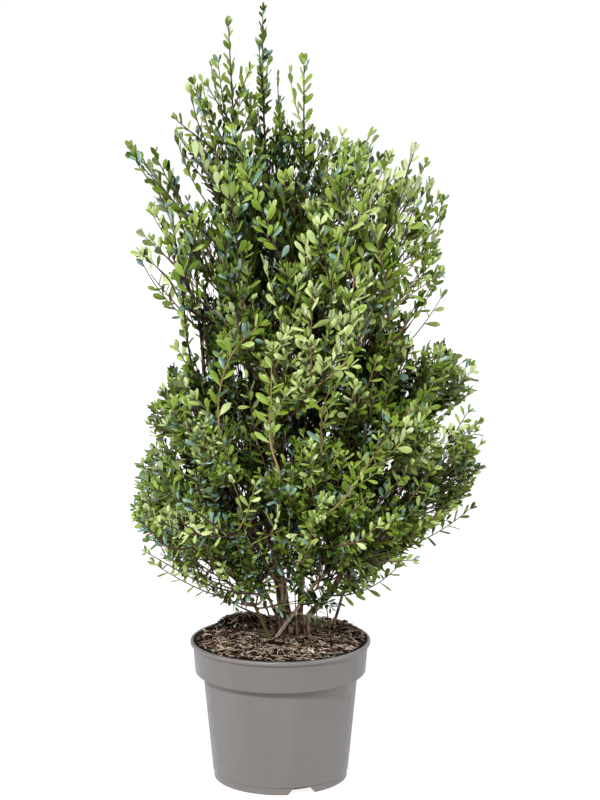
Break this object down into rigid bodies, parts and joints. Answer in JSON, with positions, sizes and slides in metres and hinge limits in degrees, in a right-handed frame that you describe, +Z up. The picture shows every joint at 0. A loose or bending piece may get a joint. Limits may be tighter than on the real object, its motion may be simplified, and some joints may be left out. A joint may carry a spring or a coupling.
{
  "type": "potted japanese holly",
  "caption": "Small-leaved evergreen shrub with upright stems and a waisted, airy-topped crown, standing in a round nursery pot filled with bark compost.",
  "frame": {"origin": "centre of the pot's flat underside, on the surface it stands on", "axes": "+Z up the plant; the front, as pictured, faces -Y; +X is to the viewer's right"},
  "size_m": [0.69, 0.6415, 1.4435],
  "materials": {
    "pot": "satin taupe-grey moulded plastic",
    "soil": "moist bark compost",
    "bark": "rough brown bark",
    "shoot": "smooth young stem",
    "leaf_low": "glossy deep green leaves",
    "leaf_mid": "glossy mid green leaves",
    "leaf_top": "glossy young yellow-green leaves"
  },
  "bodies": {
    "root": {"pot": "pot", "soil": "soil", "trunk": "bark", "stem_right": "bark", "stem_back": "bark", "cane": "shoot", "shoot_left": "shoot", "shoot_back_left": "bark", "shoot_right": "bark", "leader_left": "bark", "leader_mid": "bark", "leader_right": "bark", "bough_skirt_left": "bark", "bough_skirt_front": "bark", "bough_skirt_right": "bark", "bough_skirt_back": "bark", "bough_shoulder_left": "bark", "bough_shoulder_front_left": "bark", "bough_shoulder_front": "bark", "bough_middle_front": "bark", "bough_shoulder_front_right": "bark", "bough_shoulder_right": "bark", "bough_shoulder_back_right": "bark", "bough_shoulder_back_left": "bark", "bough_left_spray": "bark", "bough_upper_front_left": "bark", "bough_upper_front": "bark", "bough_upper_front_right": "bark", "bough_upper_right_top": "bark", "bough_upper_back_right": "bark", "bough_spire_far_left": "bark", "spire_centre": "leaf_top", "spire_left": "leaf_top", "spire_right": "leaf_top", "upper_left": "leaf_top", "upper_right": "leaf_top", "upper_back": "leaf_top", "skirt_front_left": "leaf_low", "skirt_front_right": "leaf_low", "skirt_back_left": "leaf_low", "skirt_back_right": "leaf_low", "skirt_left": "leaf_low", "skirt_front": "leaf_low", "skirt_right": "leaf_low", "skirt_back": "leaf_low", "shoulder_left": "leaf_mid", "shoulder_front_left": "leaf_mid", "shoulder_front": "leaf_mid", "middle_front": "leaf_mid", "shoulder_front_right": "leaf_mid", "shoulder_right": "leaf_mid", "shoulder_back_right": "leaf_mid", "shoulder_back_left": "leaf_mid", "left_spray": "leaf_top", "upper_front_left": "leaf_top", "upper_front": "leaf_top", "upper_front_right": "leaf_mid", "upper_right_top": "leaf_top", "upper_back_right": "leaf_top", "spire_far_left": "leaf_top"}
  },
  "joints": []
}
